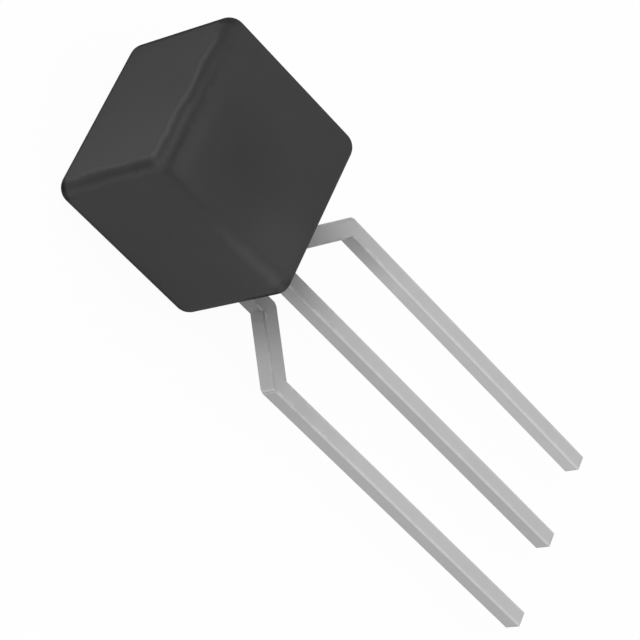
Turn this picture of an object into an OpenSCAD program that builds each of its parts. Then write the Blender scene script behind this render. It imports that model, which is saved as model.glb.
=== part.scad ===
// Small-signal transistor in a moulded block with formed leads.
// It lies on its back face. X runs along the row of leads, Y points to the
// closed end of the block, and Z points up through the front face.
// The origin is the centre of the back face. All sizes are millimetres.

/* [Moulded block] */
// Width of the block along the row of leads
body_w = 4.88; // [4.7:0.02:6]
// Height of the block from the lead end to the closed end
body_h = 4.88; // [4.4:0.02:6]
// Thickness of the block from the back face to the front face
body_d = 3.76; // [2.8:0.02:5]
// Rounding of the edges and corners of the block
edge_r = 0.43; // [0.2:0.01:0.6]

/* [Leads] */
// Width of a lead
lead_w = 0.46; // [0.35:0.01:0.55]
// Width of an outer lead between its two bends, where it is pressed a little wider
slant_w = 0.51; // [0.4:0.01:0.6]
// Thickness of the lead frame strip
lead_t = 0.5; // [0.3:0.01:0.6]
// Bevel along the edges of a lead and round its tip
lead_bevel = 0.04; // [0.02:0.01:0.1]
// Depth of the moulding behind the leads
lead_depth = 0.6; // [0.5:0.01:0.9]
// Reach of the leads from the block to their tips
lead_reach = 12.9; // [6:0.1:15]
// Spacing of the leads where they leave the block
exit_pitch = 1.085; // [0.9:0.005:1.3]
// Spacing of the leads at their tips
tip_pitch = 2.54; // [1.8:0.01:3]
// Distance from the block to the first bend of an outer lead
first_bend = 1.39; // [0.8:0.01:1.8]
// Distance from the block to the second bend of an outer lead
second_bend = 2.66; // [2.2:0.01:4]
// Rounding of the outside of a bend
bend_r = 0.12; // [0.08:0.01:0.16]
// Width that an outer lead loses at the outside of a bend
bend_thinning = 0.01; // [0.005:0.005:0.03]

/* [Die pad and bond posts] */
// Width of the die pad
pad_w = 1.7; // [1.2:0.05:1.8]
// Length of the die pad
pad_l = 1.9; // [1.2:0.05:2]
// Gap that keeps the die pad clear of the outer leads
pad_gap = 0.28; // [0.2:0.02:0.34]
// Moulding left beside a bond post
side_wall = 0.48; // [0.4:0.02:0.6]
// Distance from the lead end of the block to the shoulder of an outer lead
shoulder_inset = 1; // [0.7:0.05:1.2]
// Length of the shoulder that carries a bond post
shoulder_l = 0.37; // [0.3:0.01:0.5]
// Length of a bond post with its shoulder
post_l = 1.5; // [1.2:0.05:1.9]
// Corner cut of the die pad, the shoulders and the bond posts
corner_cut = 0.12; // [0.05:0.01:0.14]
// Diameter of the half-round notches that lock the frame in the moulding
notch_d = 0.3; // [0.1:0.02:0.36]

/* [Die and bond wires] */
// Side of the square die
die_w = 0.64; // [0.52:0.02:0.9]
// Thickness of the die
die_t = 0.2; // [0.1:0.01:0.3]
// Thickness of the die attach layer
attach_t = 0.03; // [0.02:0.01:0.06]
// Rim of the die attach layer that shows round the die
attach_rim = 0.05; // [0.02:0.01:0.1]
// Distance from the edge of the die to the middle of a contact
contact_inset = 0.16; // [0.1:0.01:0.18]
// Diameter of a bond wire
wire_d = 0.05; // [0.03:0.005:0.06]
// Height of the straight rise of a wire above the die
wire_rise = 0.22; // [0.12:0.02:0.5]
// Bend radius of a wire at the top of its rise
wire_bend_r = 0.12; // [0.08:0.01:0.2]
// Diameter that a wire loses in its bend, where it stretches
wire_thinning = 0.002; // [0.001:0.001:0.003]
// Diameter of the squashed ball that joins a wire to the die
ball_d = 0.12; // [0.09:0.01:0.15]
// Height of the squashed ball
ball_t = 0.05; // [0.03:0.01:0.07]
// Distance from the tip of a bond post to the wire's foot
foot_inset = 0.35; // [0.2:0.05:0.6]
// Length of the flattened foot that joins a wire to its post
foot_l = 0.16; // [0.1:0.02:0.24]
// Width of the flattened foot
foot_w = 0.08; // [0.06:0.01:0.12]
// Thickness of the flattened foot
foot_t = 0.03; // [0.02:0.01:0.04]

/* [Hidden] */
$fn = 48;

epoxy = "#3b3b3b";
tin = "#b4b4b4";
silicon = "#6d7480";
solder = "#c9c6bd";
gold = "#d9b45b";

lead_end = -body_h / 2;
tip_y = lead_end - lead_reach;
lead_mid = lead_depth + lead_t / 2;
lead_top = lead_depth + lead_t;

// The angle of a bend, how far the middle of its rounding lies to the side of a straight
// and of a slanted stretch, and how far each of them runs past the bend to reach it
turn = atan2(tip_pitch - exit_pitch, second_bend - first_bend);
straight_side = lead_w / 2 - bend_thinning - bend_r;
slant_side = slant_w / 2 - bend_thinning - bend_r;
straight_past = (slant_side - straight_side * cos(turn)) / sin(turn);
slant_past = (straight_side - slant_side * cos(turn)) / sin(turn);

shoulder_y = lead_end + shoulder_inset;
shoulder_top = shoulder_y + shoulder_l;
post_in = pad_w / 2 + pad_gap;
post_out = body_w / 2 - side_wall;
post_tip = shoulder_y + post_l;
pad_y = shoulder_top + pad_gap;

die_y = pad_y + pad_l / 2;
die_base = lead_top + attach_t;
die_top = die_base + die_t;

// Plan points where a wire meets the die and its post, on the +X side
contact = [die_w / 2 - contact_inset, die_y];
foot = [(post_in + post_out) / 2, post_tip - foot_inset];

// How far a cutting shape runs past what it cuts
past = 0.2;
// Angle by which the bend of a wire runs on into the straight wire at both its ends
bend_lap = 2;

// A rectangle with rounded corners, centred on the origin
module rounded_rect(w, h, r) {
    square([w - 2 * r, h], center = true);
    square([w, h - 2 * r], center = true);
    for (x = [-1, 1], y = [-1, 1])
        translate([x * (w / 2 - r), y * (h / 2 - r)])
            circle(r);
}

// The outside of the block: one rounded prism along each axis, and a ball in each corner
module block_outside() {
    r = edge_r;
    translate([0, 0, r])
        linear_extrude(body_d - 2 * r)
            rounded_rect(body_w, body_h, r);
    translate([0, body_h / 2 - r, body_d / 2])
        rotate([90, 0, 0])
            linear_extrude(body_h - 2 * r)
                rounded_rect(body_w, body_d, r);
    translate([r - body_w / 2, 0, body_d / 2])
        rotate([90, 0, 90])
            linear_extrude(body_w - 2 * r)
                rounded_rect(body_h, body_d, r);
    for (x = [-1, 1], y = [-1, 1], z = [r, body_d - r])
        translate([x * (body_w / 2 - r), y * (body_h / 2 - r), z])
            sphere(r);
}

module moulded_block() {
    color(epoxy)
        difference() {
            block_outside();
            collector_lead();
            emitter_lead();
            base_lead();
            die();
            die_attach();
            emitter_wire();
            base_wire();
        }
}

// Half of the lead's section, from its middle line to its bevelled edge
module half_section(w) {
    t = lead_t / 2;
    polygon([
        [0, -t], [w - lead_bevel, -t], [w, lead_bevel - t],
        [w, t - lead_bevel], [w - lead_bevel, t], [0, t]
    ]);
}

// One straight stretch of lead between two plan points
module bar(from, to, width = lead_w) {
    run = to - from;
    translate([from.x, from.y, lead_mid])
        rotate(atan2(run.y, run.x))
            rotate([90, 0, 90])
                linear_extrude(norm(run)) {
                    half_section(width / 2);
                    mirror([1, 0])
                        half_section(width / 2);
                }
}

// The rounded outside of a bend, about a plan point. The strip is a little narrower
// there, because it stretches as it is formed.
module knuckle(at) {
    translate([at.x, at.y, lead_mid])
        rotate_extrude()
            half_section(bend_r);
}

// A stretch of flat strip with cut corners, from its low to its high plan corner
module flag(low, high) {
    c = corner_cut;
    translate([0, 0, lead_depth])
        linear_extrude(lead_t)
            polygon([
                [low.x + c, low.y], [high.x - c, low.y],
                [high.x, low.y + c], [high.x, high.y - c],
                [high.x - c, high.y], [low.x + c, high.y],
                [low.x, high.y - c], [low.x, low.y + c]
            ]);
}

// A half-round lock notch through the strip, centred on a plan point of its edge
module notch(at) {
    translate([at.x, at.y, lead_depth - past])
        cylinder(h = lead_t + 2 * past, d = notch_d);
}

// What the four bevels round a tip take away, for a lead at this x
module tip_bevels(x) {
    for (side = [0 : 3]) {
        half = side % 2 == 0 ? lead_w / 2 : lead_t / 2;
        translate([x, tip_y, lead_mid])
            rotate([0, 90 * side, 0])
                translate([half, 0, 0])
                    rotate(-45)
                        translate([-lead_bevel / sqrt(2), -past, -lead_w])
                            cube([past, 2 * past, 2 * lead_w]);
    }
}

// An outer lead on the +X side: from its tip through both bends into the block,
// where its shoulder reaches out to the bond post beside the die pad
module outer_lead() {
    outer_bend = [tip_pitch, lead_end - second_bend];
    inner_bend = [exit_pitch, lead_end - first_bend];
    along = [0, straight_past];
    slant = slant_past * [-sin(turn), cos(turn)];
    difference() {
        union() {
            bar([tip_pitch, tip_y], outer_bend + along);
            bar(outer_bend - slant, inner_bend + slant, slant_w);
            bar(inner_bend - along, [exit_pitch, (shoulder_y + shoulder_top) / 2]);
            knuckle(outer_bend + along + [straight_side, 0]);
            knuckle(inner_bend - along - [straight_side, 0]);
            flag([exit_pitch - lead_w / 2, shoulder_y], [post_out, shoulder_top]);
            flag([post_in, shoulder_y], [post_out, post_tip]);
        }
        notch([post_out, (shoulder_top + post_tip) / 2]);
        tip_bevels(tip_pitch);
    }
}

module collector_lead() {
    color(tin)
        difference() {
            union() {
                bar([0, tip_y], [0, pad_y + corner_cut]);
                flag([-pad_w / 2, pad_y], [pad_w / 2, pad_y + pad_l]);
            }
            notch([0, pad_y + pad_l]);
            tip_bevels(0);
        }
}

module emitter_lead() {
    color(tin)
        mirror([1, 0, 0])
            outer_lead();
}

module base_lead() {
    color(tin)
        outer_lead();
}

// A square plate centred over the die's place
module die_plate(side, thickness, z) {
    translate([-side / 2, die_y - side / 2, z])
        cube([side, side, thickness]);
}

module die() {
    color(silicon)
        die_plate(die_w, die_t, die_base);
}

module die_attach() {
    color(solder)
        die_plate(die_w + 2 * attach_rim, attach_t, lead_top);
}

// A wire on the +X side. It rises from the ball, bends over in one arc, and its tail
// runs straight down to its foot on the post, along the tangent from the foot to the arc.
module bond_wire() {
    run = foot - contact;
    span = norm(run);
    drop = die_top - lead_top;
    foot_fall = wire_rise + drop - wire_d / 2;
    reach = norm([span - wire_bend_r, foot_fall]);
    slope = asin(wire_bend_r / reach) + atan2(foot_fall, span - wire_bend_r);
    tail = sqrt(reach * reach - wire_bend_r * wire_bend_r);
    translate([contact.x, contact.y, die_top])
        rotate(atan2(run.y, run.x)) {
            squashed_ball();
            cylinder(h = wire_rise, d = wire_d);
            translate([wire_bend_r, 0, wire_rise]) {
                wire_bend(slope);
                rotate([0, slope, 0])
                    translate([0, 0, wire_bend_r])
                        rotate([0, 90, 0])
                            cylinder(h = tail, d = wire_d);
            }
            translate([span - foot_l / 2, -foot_w / 2, -drop])
                cube([foot_l, foot_w, foot_t]);
        }
}

// The ball of a wire, pressed flat on the die
module squashed_ball() {
    intersection() {
        translate([0, 0, ball_t / 2])
            sphere(d = ball_d);
        cylinder(h = ball_t, d = 2 * ball_d);
    }
}

// The bend at the top of a wire's rise, from upright to the slope of its tail
module wire_bend(slope) {
    rotate([90, 0, 180])
        rotate(-bend_lap)
            rotate_extrude(angle = 90 + slope + 2 * bend_lap)
                translate([wire_bend_r, 0])
                    circle(d = wire_d - wire_thinning);
}

module emitter_wire() {
    color(gold)
        mirror([1, 0, 0])
            bond_wire();
}

module base_wire() {
    color(gold)
        bond_wire();
}

moulded_block();
collector_lead();
emitter_lead();
base_lead();
die();
die_attach();
emitter_wire();
base_wire();
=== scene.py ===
"""A small transistor in a moulded block with three formed leads: its finishes, its light and its view."""

import math

import bpy
from mathutils import Matrix, Vector


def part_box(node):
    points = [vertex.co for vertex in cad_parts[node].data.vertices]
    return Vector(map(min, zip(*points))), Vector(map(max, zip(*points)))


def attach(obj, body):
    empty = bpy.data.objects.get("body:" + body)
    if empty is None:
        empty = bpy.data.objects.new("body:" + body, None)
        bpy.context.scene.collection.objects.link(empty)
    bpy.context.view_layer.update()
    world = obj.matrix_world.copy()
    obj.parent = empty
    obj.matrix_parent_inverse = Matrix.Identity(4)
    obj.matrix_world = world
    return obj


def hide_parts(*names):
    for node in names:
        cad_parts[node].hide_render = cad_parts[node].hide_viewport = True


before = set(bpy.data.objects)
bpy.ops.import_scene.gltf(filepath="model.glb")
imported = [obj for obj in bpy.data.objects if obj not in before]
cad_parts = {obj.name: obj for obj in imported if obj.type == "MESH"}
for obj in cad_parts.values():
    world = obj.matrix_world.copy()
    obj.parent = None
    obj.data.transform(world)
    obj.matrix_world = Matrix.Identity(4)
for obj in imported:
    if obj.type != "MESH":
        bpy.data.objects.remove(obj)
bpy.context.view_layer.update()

MM = 0.001

# The moulded block
EDGE_RADIUS = 0.43 * MM
EDGE_SEGMENTS = 12
SMOOTH_ANGLE = 25
MERGE_DISTANCE = 0.00001 * MM
INNER_PIECES = [
    "collector_lead", "emitter_lead", "base_lead",
    "die", "die_attach", "emitter_wire", "base_wire",
]

# The epoxy. Tones are added to its level
EPOXY_LEVEL = 0.052
EPOXY_CLOUD_TONE = 0.010
FILLER_TONE = 0.008
EPOXY_ROUGHNESS = 0.6
EPOXY_SHEEN = 0.01
# Painted light and shade on the faces of the block
PAINTED_LIGHT_PATCH_TONE = 0.005
PAINTED_SHADE_PATCH_TONE = 0.006
END_TONE = 0.004
END_TONE_BY_NEAR_SIDE = 0.010
END_SHADE_BY_FAR_SIDE = 0.004
SIDE_TONE = 0.0065
SIDE_TONE_BY_FRONT = 0.002
SIDE_TONE_BY_BACK = 0.0018
# Painted shade on the roundings of the far edges
FAR_EDGE_SHADE = 0.014
CLOSED_END_SHADE = 0.014
BACK_OF_END_SHADE = 0.006
FAR_SIDE_SHADE = 0.009
LEAD_END_SHADE = 0.014
ABOVE_LEADS_SHADE = 0.027

# Millimetres under a face of the block, over which what belongs to a face, a rounding or a corner fades
FACE_DEPTH = (0.05, 0.45)
ROUNDING_DEPTH = (0.35, 0.5)
CORNER_DEPTH = (0.15, 0.4)

# The leads, in millimetres across the row and out from the block
EXIT_PITCH = 1.085
TIP_PITCH = 2.54
FIRST_BEND = 1.39
SECOND_BEND = 2.66
HALF_WIDTH = 0.23
SLANTED_HALF_WIDTH = 0.255

# The tin. Tones are added to its level, and the painted shade takes this share of it away
TIN_LEVEL = 0.49
STREAK_TONE = 0.03
TIN_CLOUD_TONE = 0.04
RIDGE_LIGHT_TONE = 0.036
BEND_GLEAM_TONE = 0.07
GLINT_AND_MARK_TONE = 0.14
GLINT_AND_MARK_TONE_BY_BLOCK = 0.55
SHADE_BY_BLOCK = 0.68
SHADE_FURTHER_OUT = 0.07
CUT_DULL = 0.1
TIN_ROUGHNESS = 0.44
EDGE_WAVER = 0.1
RAGGEDNESS = 3

# The view: the camera looks at AIM from this side and distance, turned about its own line of sight
AIM = Vector((-0.591, -5.058, 1.5)) * MM
VIEW_AZIMUTH = 136.033
VIEW_ELEVATION = 43.941
VIEW_ROLL = 78.788
VIEW_DISTANCE = 64.942 * MM
LENS_MM = 148.70
NEAREST_SEEN = 1 * MM

# The light
SKY_LEVEL = 0.75
FLOOR_SIDE = 2.0
FLOOR_COLOUR = (0.86, 0.86, 0.86, 1)
WHITE = (1, 1, 1, 1)
FLOOR_GLOW = 0.96


class Number:
    """A number that comes out of a shader node. Arithmetic on it adds Math nodes."""

    def __init__(self, nodes, socket):
        self.nodes = nodes
        self.socket = socket

    def math(self, operation, *others):
        """The result of a Math node on this number and the others."""
        values = dict(enumerate([self, *others]))
        return self.nodes.add("Math", {"operation": operation}, values)

    def __add__(self, other):
        return self.math("ADD", other)

    def __sub__(self, other):
        return self.math("SUBTRACT", other)

    def __mul__(self, other):
        return self.math("MULTIPLY", other)

    def __truediv__(self, other):
        return self.math("DIVIDE", other)

    def __rsub__(self, other):
        return (self * -1) + other

    def __abs__(self):
        return self.math("ABSOLUTE")

    __radd__ = __add__
    __rmul__ = __mul__

    def least(self, other):
        """The smaller of this number and another."""
        return self.math("MINIMUM", other)

    def most(self, other):
        """The larger of this number and another."""
        return self.math("MAXIMUM", other)

    def clamped(self):
        """This number kept between 0 and 1."""
        return self.nodes.add("Clamp", {}, {"Value": self})

    def from_nearest_multiple(self, step):
        """How far this number is from the nearest multiple of a step."""
        return self - (self / step).math("ROUND") * step

    def rise(self, low, high):
        """0 below low, 1 above high, and a smooth step between."""
        settings = {"interpolation_type": "SMOOTHSTEP"}
        return self.nodes.add("MapRange", settings, {"Value": self, "From Min": low, "From Max": high})

    def near(self, middle, half_width):
        """1 at the middle value, falling smoothly to 0 at this distance from it."""
        return 1 - abs(self - middle).rise(0, half_width)

    def line(self, middle, half_width, tone):
        """A soft line of this tone along the middle value."""
        return self.near(middle, half_width) * tone


class Nodes:
    """A tree of shader nodes while it is built."""

    def __init__(self, tree):
        self.tree = tree

    def feed(self, socket, value):
        """Puts a value or a link into a socket."""
        if isinstance(value, Number):
            self.tree.links.new(value.socket, socket)
        else:
            socket.default_value = value

    def add(self, kind, settings, values, output=0):
        """Adds a node, with its settings first and then the values or links of its sockets."""
        node = self.tree.nodes.new("ShaderNode" + kind)
        for name, value in settings.items():
            setattr(node, name, value)
        for key, value in values.items():
            self.feed(node.inputs[key], value)
        return Number(self, node.outputs[output])

    def seen_plainly(self):
        """1 where the camera, a reflection or a see-through ray meets a surface, and 0 for other light."""
        rays = ["Is Camera Ray", "Is Glossy Ray", "Is Transmission Ray"]
        seen = [self.add("LightPath", {}, {}, ray) for ray in rays]
        return seen[0].most(seen[1]).most(seen[2])


class Finish(Nodes):
    """A procedural material while it is built."""

    def __init__(self, name):
        self.material = bpy.data.materials.new(name)
        self.material.use_nodes = True
        super().__init__(self.material.node_tree)
        self.shader = self.tree.nodes["Principled BSDF"]

    def place(self):
        """The place on the piece, in millimetres."""
        position = self.add("TexCoord", {}, {}, "Object")
        return self.add("VectorMath", {"operation": "SCALE"}, {0: position, "Scale": 1 / MM})

    def parts(self, vector):
        """The three numbers of a vector."""
        return [self.add("SeparateXYZ", {}, {0: vector}, axis) for axis in "XYZ"]

    def vector(self, x, y, z):
        """A vector from three numbers."""
        return self.add("CombineXYZ", {}, {0: x, 1: y, 2: z})

    def distance(self, vector, point):
        """Distance from a place to a point."""
        return self.add("VectorMath", {"operation": "DISTANCE"}, {0: vector, 1: point}, "Value")

    def noise(self, vector, scale, detail=2, roughness=0.5):
        """Soft noise about 0, with this many grains in a millimetre."""
        values = {"Vector": vector, "Scale": scale, "Detail": detail, "Roughness": roughness}
        return self.add("TexNoise", {}, values, "Fac") - 0.5

    def neutral(self, level):
        """A neutral colour of this level."""
        return self.add("CombineColor", {}, {0: level, 1: level, 2: level})

    def mix(self, share, first, second):
        """A colour between two colours, which the node takes in its sockets 6 and 7 and gives out of 2."""
        return self.add("Mix", {"data_type": "RGBA"}, {0: share, 6: first, 7: second}, 2)

    def bump(self, height, distance, strength):
        """A normal from a height, for a relief of this distance in metres."""
        return self.add("Bump", {}, {"Height": height, "Distance": distance, "Strength": strength})

    def set(self, **values):
        """Sets or links the shader's own sockets."""
        for name, value in values.items():
            self.feed(self.shader.inputs[name.replace("_", " ")], value)
        return self.material


def block_corners():
    """The low and high corners of the moulded block, in millimetres."""
    return [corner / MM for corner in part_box("moulded_block")]


def epoxy_finish():
    """Black moulding compound: matte and faintly clouded, with fine filler, and painted light and shade on
    its faces and roundings.
    """
    finish = Finish("moulded_epoxy")
    place = finish.place()
    clouds = finish.noise(place, scale=0.5, detail=3)
    filler = finish.noise(place, scale=28, detail=2, roughness=0.6)
    tones = painted_face_light(finish, place) + near_edge_light_and_shade(finish, place) - far_edge_painted_shade(finish, place)
    level = EPOXY_LEVEL + clouds * EPOXY_CLOUD_TONE + filler * FILLER_TONE + tones
    roughness = EPOXY_ROUGHNESS + filler * 0.12 + clouds * 0.08
    relief = finish.noise(place, scale=16, detail=3, roughness=0.55)
    return finish.set(
        Base_Color=finish.neutral(level),
        Roughness=roughness,
        Normal=finish.bump(relief, distance=0.004 * MM, strength=0.3),
        Specular_IOR_Level=EPOXY_SHEEN,
    )


def painted_face_light(finish, place):
    """Painted light and shade: broad soft changes of tone over the front, the closed end and the near side,
    for how the light falls on them.
    """
    low, high = block_corners()
    x, y, z = finish.parts(place)
    middle_of_front = Vector((-0.7, 0.3, high.z))
    lead_end_of_front = Vector((low.x + 0.6, low.y + 0.8, high.z))
    # A painted shade patch in the middle of the front, and a painted light patch by its lead end
    shade_patch = 1 - finish.distance(place, middle_of_front).rise(0.2, 1.9)
    lit_patch = 1 - finish.distance(place, lead_end_of_front).rise(0.3, 1.8)
    front_tone = lit_patch * PAINTED_LIGHT_PATCH_TONE - shade_patch * PAINTED_SHADE_PATCH_TONE

    # The closed end is painted lighter, most towards the near side and less towards the far side
    by_near_side = 1 - x.rise(-2.6, 1.4)
    by_far_side = x.rise(1.2, 2.2)
    end_tone = END_TONE + by_near_side * END_TONE_BY_NEAR_SIDE - by_far_side * END_SHADE_BY_FAR_SIDE

    # The near side is painted lighter, more by the front and the leads and by the back
    by_front_and_leads = z.rise(0.8, 3.6) * (1 - y.rise(-1.5, 2))
    by_back = 1 - z.rise(0.4, 1.8)
    side_tone = SIDE_TONE + by_front_and_leads * SIDE_TONE_BY_FRONT + by_back * SIDE_TONE_BY_BACK

    on_end = 1 - (high.y - y).rise(*FACE_DEPTH)
    on_side = 1 - (x - low.x).rise(*FACE_DEPTH)
    return front_tone + on_end * end_tone + on_side * (1 - on_end) * side_tone


def near_edge_light_and_shade(finish, place):
    """Painted shade on the roundings, with painted highlight lines and painted light beside them, along the
    three edges at the near corner.
    """
    low, high = block_corners()
    x, y, z = finish.parts(place)
    depth_end = high.y - y
    depth_front = high.z - z
    depth_side = x - low.x
    width = high.x - low.x

    # Place across each rounding: -1 where it leaves the first face, 1 where it meets the second
    radius = EDGE_RADIUS / MM
    waver = finish.noise(place, scale=1.4, detail=4, roughness=0.6) * 0.8
    end_to_front = (depth_end - depth_front) / radius + waver
    end_to_side = (depth_end - depth_side) / radius + waver
    front_to_side = (depth_front - depth_side) / radius + waver

    # Random unevenness in the strength of the painted highlights
    highlight_unevenness = 1 + finish.noise(place, scale=0.9, detail=3) * 1.6
    by_corner = 1 - depth_side.rise(0.2 * width, 0.75 * width)
    before_far_side = 1 - depth_side.rise(0.65 * width, width)
    highlight_by_end = end_to_front.line(middle=-0.55, half_width=0.36, tone=0.0195) * before_far_side
    shaded_rounding = end_to_front.line(middle=-0.1, half_width=1, tone=0.0155 + by_corner * 0.001)
    highlight_on_rounding = end_to_front.line(middle=0.22, half_width=0.28, tone=0.0105) * by_corner * highlight_unevenness
    shade_line = end_to_front.line(middle=0.73, half_width=0.35, tone=0.004 + by_corner * 0.009)
    light_beside_it = end_to_front.line(middle=1.5, half_width=0.9, tone=0.006) * by_corner
    by_end_and_front = highlight_by_end - shaded_rounding + highlight_on_rounding - shade_line + light_beside_it

    rounding_shade = 0.023 - depth_front.rise(1.5, 3.6) * 0.009
    highlight_by_end = end_to_side.line(middle=-0.72, half_width=0.3, tone=0.015)
    shaded_rounding = end_to_side.line(middle=-0.12, half_width=1.1, tone=rounding_shade)
    highlight_on_rounding = end_to_side.line(middle=0.33, half_width=0.42, tone=0.0125) * highlight_unevenness
    by_end_and_side = highlight_by_end - shaded_rounding + highlight_on_rounding

    to_leads = depth_end.rise(0.1 * width, 0.9 * width)
    highlight_on_rounding = front_to_side.line(middle=0.05, half_width=0.8, tone=0.0195) * to_leads * highlight_unevenness
    shaded_rounding = front_to_side.line(middle=-0.05, half_width=1, tone=0.0065)
    shade_line = front_to_side.line(middle=-0.2, half_width=0.4, tone=0.004) * (1 - to_leads)
    by_front_and_side = highlight_on_rounding - shaded_rounding - shade_line

    # Each edge's lines stop short of the third face at the corner
    past_end = depth_end.rise(*CORNER_DEPTH)
    past_front = depth_front.rise(*CORNER_DEPTH)
    past_side = depth_side.rise(*CORNER_DEPTH)
    end_and_front_tone = past_side * by_edge(depth_end, depth_front) * by_end_and_front
    end_and_side_tone = past_front * by_edge(depth_end, depth_side) * by_end_and_side
    front_and_side_tone = past_end * by_edge(depth_front, depth_side) * by_front_and_side
    return end_and_front_tone + end_and_side_tone + front_and_side_tone


def far_edge_painted_shade(finish, place):
    """Painted shade on the roundings at the back, on the far side and at the lead end."""
    low, high = block_corners()
    x, y, z = finish.parts(place)
    by_end = 1 - (high.y - y).rise(*ROUNDING_DEPTH)
    by_lead_end = 1 - (y - low.y).rise(*ROUNDING_DEPTH)
    by_back = 1 - (z - low.z).rise(*ROUNDING_DEPTH)
    by_far_side = 1 - (high.x - x).rise(*ROUNDING_DEPTH)
    by_near_side = 1 - (x - low.x).rise(*ROUNDING_DEPTH)
    past_front = (high.z - z).rise(*CORNER_DEPTH)
    beside = from_middle_of_rounding(x, y, z)

    # The back edges and the far edge of the closed end get painted shade over their whole rounding
    whole = by_back.most(by_end * by_far_side * past_front) * (1 - beside.rise(0.78, 1))
    whole_shade = FAR_EDGE_SHADE + by_end * (CLOSED_END_SHADE + by_back * BACK_OF_END_SHADE)

    # The other far edges get painted shade along the middle of their rounding, darkest above the leads
    middle = 1 - beside.rise(0.3, 0.7)
    middle_shade = (by_far_side * FAR_SIDE_SHADE).most(by_lead_end * by_near_side * LEAD_END_SHADE)
    above_leads = by_lead_end * by_near_side * z.rise(2.2, 2.7) * past_front * (1 - beside.rise(0.4, 0.8))
    plain_shade = whole * whole_shade + (1 - whole) * middle * middle_shade
    return plain_shade + above_leads * ABOVE_LEADS_SHADE


def by_edge(first_depth, second_depth):
    """1 by the edge where two faces meet, and 0 further in on either face and on the other faces."""
    further_in = first_depth.most(second_depth).rise(1, 1.4)
    on_another = first_depth.least(second_depth).rise(0.14, 0.26)
    return (1 - further_in) * (1 - on_another)


def from_middle_of_rounding(x, y, z):
    """0 at the middle of a rounding of the block, and 1 where it meets a flat."""
    low, high = block_corners()
    depth_x = (x - low.x).least(high.x - x)
    depth_y = (y - low.y).least(high.y - y)
    depth_z = (z - low.z).least(high.z - z)
    shallow = depth_x.least(depth_y).least(depth_z)
    deep = depth_x.most(depth_y).most(depth_z)
    middle = depth_x + depth_y + depth_z - shallow - deep
    return (middle - shallow) / (EDGE_RADIUS / MM)


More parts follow.
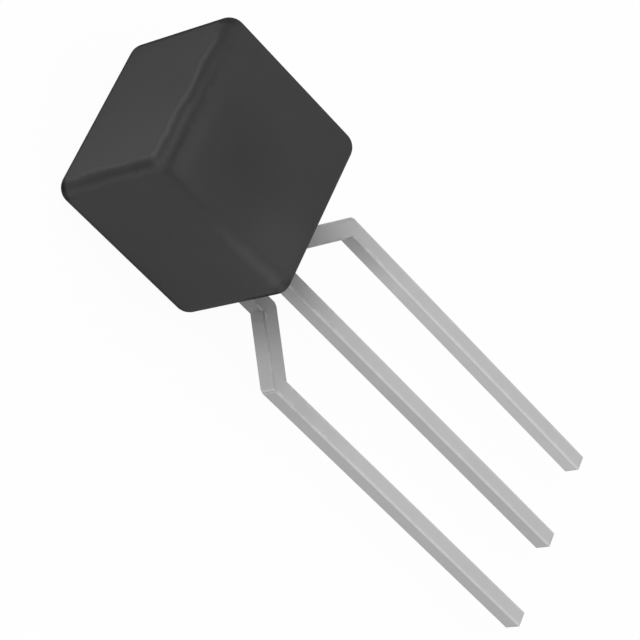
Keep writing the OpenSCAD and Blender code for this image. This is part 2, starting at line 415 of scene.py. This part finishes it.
def tin_finish():
    """Satin tin plating, streaked along the strip, with painted shade by the block and on its sides, painted
    highlights along its edges and on the second bend, and random marks along its edges.
    """
    finish = Finish("tin_plating")
    place = finish.place()
    x, y, z = finish.parts(place)
    strip_low, strip_high = (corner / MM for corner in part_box("collector_lead"))
    out = block_corners()[0].y - y

    # Where this place is on its lead: how far along it, how far across it, and on which stretch
    bent = ((out - FIRST_BEND) / (SECOND_BEND - FIRST_BEND)).clamped()
    spacing = EXIT_PITCH + bent * (TIP_PITCH - EXIT_PITCH)
    outer = abs(x / spacing).rise(0.4, 0.6)
    turn = math.atan2(TIP_PITCH - EXIT_PITCH, SECOND_BEND - FIRST_BEND)
    slant_length = (SECOND_BEND - FIRST_BEND) / math.cos(turn)
    slanted = outer * bent.rise(0, 0.05) * (1 - bent.rise(0.95, 1))
    outward = x.from_nearest_multiple(spacing) * x.math("SIGN")
    across = outward * (1 - slanted * (1 - math.cos(turn)))
    ahead = outward * slanted * math.sin(turn)
    travel = out + outer * bent * (slant_length - (SECOND_BEND - FIRST_BEND)) + ahead
    half_width = HALF_WIDTH + slanted * (SLANTED_HALF_WIDTH - HALF_WIDTH)
    past_edge = abs(across) - half_width
    inward = outer * (1 - outward.rise(-0.15, -0.05))
    by_second_bend = outer * (out - SECOND_BEND).near(middle=-0.1, half_width=0.5)

    # Painted shade on the stretch by the block. It ends sooner on the slanted stretch of an outer lead than
    # past it
    sooner_on_slant = bent.rise(-0.4, 0.9) * 0.42
    later_past_slant = (out - SECOND_BEND).rise(0, 1.2) * 0.64
    clearance = out + outer * (sooner_on_slant - later_past_slant) + ahead * 0.9
    block_shade = (1 - clearance.rise(0.5, 4.0)) * SHADE_BY_BLOCK + (1 - clearance.rise(3, 6)) * SHADE_FURTHER_OUT

    # The sides of the strip, which get painted light and shade, with a ragged upper edge by the block and a
    # painted highlight on the second bend
    waver = finish.noise(place, scale=2.5, detail=3) * EDGE_WAVER
    ragged = waver * (1 - clearance.rise(2, 5)) * (1 - slanted) * RAGGEDNESS
    over_the_edge = (past_edge + ragged).rise(-0.03, -0.005)
    below_top = 1 - z.rise(strip_high.z - 0.035, strip_high.z - 0.01)
    side = below_top.most(over_the_edge * (1 - by_second_bend))
    on_bend = by_second_bend * (out - SECOND_BEND).near(middle=-0.12, half_width=0.09)
    gleam = below_top * on_bend * (1 - inward)

    # Painted light and shade on the sides: the share of the top's level that a side has, outward on a
    # straight stretch, inward on one, and slanted
    straight_side_light = 0.85 + block_shade * 0.60
    inner_side_light = straight_side_light * (0.66 + travel.rise(3.2, 5.6) * 0.52)
    plain_side_light = straight_side_light + inward * (inner_side_light - straight_side_light)
    slanted_side_light = (1 + block_shade) * (0.74 + bent.rise(0.05, 0.55) * 0.21)
    side_light = plain_side_light + slanted * (slanted_side_light - plain_side_light)

    # The edges of its top get a painted highlight on the straight stretches, and are painted darker on the
    # slanted ones
    top = z.rise(strip_high.z - 0.06, strip_high.z - 0.02)
    edge = (past_edge + waver).near(middle=-0.03, half_width=0.10) * top
    on_straight = (1 - slanted) * (1 - inward * (1 - travel.rise(3.4, 4.4)))
    on_slant = slanted * (1 - inward) * bent.rise(0.4, 1) * 2
    ridge_light = edge * (on_straight - on_slant)
    # Random light and dark marks along the edges, which also break the painted ridge highlight into glints,
    # strongest by the block
    glint_and_mark_tone = GLINT_AND_MARK_TONE + (1 - clearance.rise(1.5, 5)) * (1 - slanted * 0.7) * GLINT_AND_MARK_TONE_BY_BLOCK
    ridge_glints_and_marks = edge * finish.noise(place, scale=5, detail=3, roughness=0.7) * glint_and_mark_tone

    cut = 1 - y.rise(strip_low.y + 0.02, strip_low.y + 0.1)
    along_strip = finish.vector(across * 22, travel * 1.2, z * 22)
    streaks = finish.noise(along_strip, scale=1, detail=3, roughness=0.6)
    clouds = finish.noise(place, scale=1.3, detail=2)
    plating = TIN_LEVEL + streaks * STREAK_TONE + clouds * TIN_CLOUD_TONE
    plating = plating + ridge_light * RIDGE_LIGHT_TONE + ridge_glints_and_marks + gleam * BEND_GLEAM_TONE
    level = plating * (1 - block_shade) * (1 - side * (1 - side_light)) * (1 - cut * CUT_DULL)
    return finish.set(
        Base_Color=finish.neutral(level),
        Roughness=TIN_ROUGHNESS + streaks * 0.14 + cut * 0.1,
        Normal=finish.bump(streaks, distance=0.002 * MM, strength=0.3),
        Metallic=1.0,
    )


def grained_finish(name, dark, light, metallic, roughness, grain_scale):
    """A plain material with a fine grain in its colour and its gloss."""
    finish = Finish(name)
    grain = finish.noise(finish.place(), grain_scale, detail=3)
    colour = finish.mix(grain + 0.5, (*dark, 1), (*light, 1))
    return finish.set(Base_Color=colour, Roughness=roughness + grain * 0.1, Metallic=metallic)


def gold_finish():
    """Bright gold wire."""
    dark = (0.75, 0.5, 0.17)
    light = (0.92, 0.66, 0.26)
    return grained_finish("bright_gold", dark, light, metallic=1.0, roughness=0.22, grain_scale=40)


def silicon_finish():
    """Polished silicon."""
    dark = (0.13, 0.15, 0.19)
    light = (0.19, 0.21, 0.25)
    return grained_finish("polished_silicon", dark, light, metallic=0.3, roughness=0.2, grain_scale=6)


def solder_finish():
    """Dull solder."""
    dark = (0.48, 0.47, 0.44)
    light = (0.63, 0.62, 0.59)
    return grained_finish("dull_solder", dark, light, metallic=1.0, roughness=0.5, grain_scale=18)


def select_only(piece):
    """Leaves this piece alone selected and active."""
    bpy.ops.object.select_all(action="DESELECT")
    piece.select_set(True)
    bpy.context.view_layer.objects.active = piece


def edit_all(piece):
    """Opens a piece in edit mode with everything selected."""
    select_only(piece)
    bpy.ops.object.mode_set(mode="EDIT")
    bpy.ops.mesh.select_all(action="SELECT")


def merged_copy(node):
    """A closed copy of an inner piece, to cut its socket with."""
    select_only(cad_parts[node])
    bpy.ops.object.duplicate()
    copy = bpy.context.object
    edit_all(copy)
    bpy.ops.mesh.remove_doubles(threshold=MERGE_DISTANCE)
    bpy.ops.object.mode_set(mode="OBJECT")
    return copy


def cut_socket(block, node):
    """Cuts the room that an inner piece takes out of the block."""
    cutter = merged_copy(node)
    select_only(block)
    socket = block.modifiers.new("socket", "BOOLEAN")
    socket.operation = "DIFFERENCE"
    socket.solver = "EXACT"
    socket.object = cutter
    bpy.ops.object.modifier_apply(modifier=socket.name)
    bpy.data.objects.remove(cutter)


def model_block():
    """The moulding: a cube brought to size, its edges rounded and its sockets cut."""
    low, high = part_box("moulded_block")
    bpy.ops.object.select_all(action="DESELECT")
    bpy.ops.mesh.primitive_cube_add(size=1, location=(low + high) / 2)
    block = bpy.context.object
    block.name = "epoxy_block"
    bpy.ops.transform.resize(value=high - low)
    bpy.ops.object.transform_apply(location=True, rotation=True, scale=True)
    edit_all(block)
    bpy.ops.mesh.bevel(offset=EDGE_RADIUS, segments=EDGE_SEGMENTS, profile=0.5, affect="EDGES")
    bpy.ops.object.mode_set(mode="OBJECT")
    for node in INNER_PIECES:
        cut_socket(block, node)
    select_only(block)
    bpy.ops.object.shade_smooth_by_angle(angle=math.radians(SMOOTH_ANGLE))
    even = block.modifiers.new("even normals", "WEIGHTED_NORMAL")
    even.keep_sharp = True
    bpy.ops.object.modifier_apply(modifier=even.name)
    return block


def finish_pieces():
    """Models what is modelled here and gives every piece its material."""
    block = model_block()
    block.data.materials.clear()
    block.data.materials.append(epoxy_finish())
    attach(block, "root")
    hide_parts("moulded_block")
    gold = gold_finish()
    tin = tin_finish()
    finishes = {
        "collector_lead": tin,
        "emitter_lead": tin,
        "base_lead": tin,
        "die": silicon_finish(),
        "die_attach": solder_finish(),
        "emitter_wire": gold,
        "base_wire": gold,
    }
    for node, material in finishes.items():
        for material_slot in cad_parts[node].material_slots:
            material_slot.material = material


def add_floor():
    """A pale floor under the block. It shows almost white and keeps a faint shadow."""
    bpy.ops.object.select_all(action="DESELECT")
    bpy.ops.mesh.primitive_plane_add(size=FLOOR_SIDE)
    floor = bpy.context.object
    floor.name = "floor"
    finish = Finish("pale_floor")
    finish.set(Base_Color=FLOOR_COLOUR, Roughness=0.9, Specular_IOR_Level=0.0)
    glow = finish.add("Emission", {}, {"Color": WHITE, "Strength": 1.0})
    share = finish.seen_plainly() * FLOOR_GLOW
    lit = Number(finish, finish.shader.outputs[0])
    shown = finish.add("MixShader", {}, {0: share, 1: lit, 2: glow})
    finish.feed(finish.tree.nodes["Material Output"].inputs["Surface"], shown)
    floor.data.materials.append(finish.material)


def add_sky():
    """Soft even light from all round, seen as plain white."""
    world = bpy.data.worlds.new("studio")
    bpy.context.scene.world = world
    world.use_nodes = True
    sky = Nodes(world.node_tree)
    level = SKY_LEVEL + sky.seen_plainly() * (1 - SKY_LEVEL)
    background = sky.tree.nodes["Background"]
    sky.feed(background.inputs["Color"], WHITE)
    sky.feed(background.inputs["Strength"], level)


def add_lamp(name, place, side, power):
    """A square soft lamp that faces the part. Its place and side are millimetres."""
    bpy.ops.object.select_all(action="DESELECT")
    bpy.ops.object.light_add(type="AREA", location=Vector(place) * MM)
    lamp = bpy.context.object
    lamp.name = name
    lamp.data.shape = "SQUARE"
    lamp.data.size = side * MM
    lamp.data.energy = power
    aim = Vector(place).to_track_quat("Z", "Y")
    lamp.rotation_euler = aim.to_euler()


def add_camera():
    """The camera at the picture's angle."""
    azimuth = math.radians(VIEW_AZIMUTH)
    elevation = math.radians(VIEW_ELEVATION)
    level = math.cos(elevation)
    side = Vector((level * math.cos(azimuth), level * math.sin(azimuth), math.sin(elevation)))
    turn = side.to_track_quat("Z", "Y").to_matrix() @ Matrix.Rotation(math.radians(VIEW_ROLL), 3, "Z")
    bpy.ops.object.camera_add()
    camera = bpy.context.object
    camera.matrix_world = Matrix.Translation(AIM + side * VIEW_DISTANCE) @ turn.to_4x4()
    camera.data.lens = LENS_MM
    camera.data.clip_start = NEAREST_SEEN
    bpy.context.scene.camera = camera


add_camera()
finish_pieces()
add_floor()
add_sky()
add_lamp("key_lamp", place=(80, 230, 210), side=220, power=0.35)
add_lamp("edge_lamp", place=(-210, -150, 160), side=200, power=0.04)
bpy.context.scene.view_settings.view_transform = "Standard"
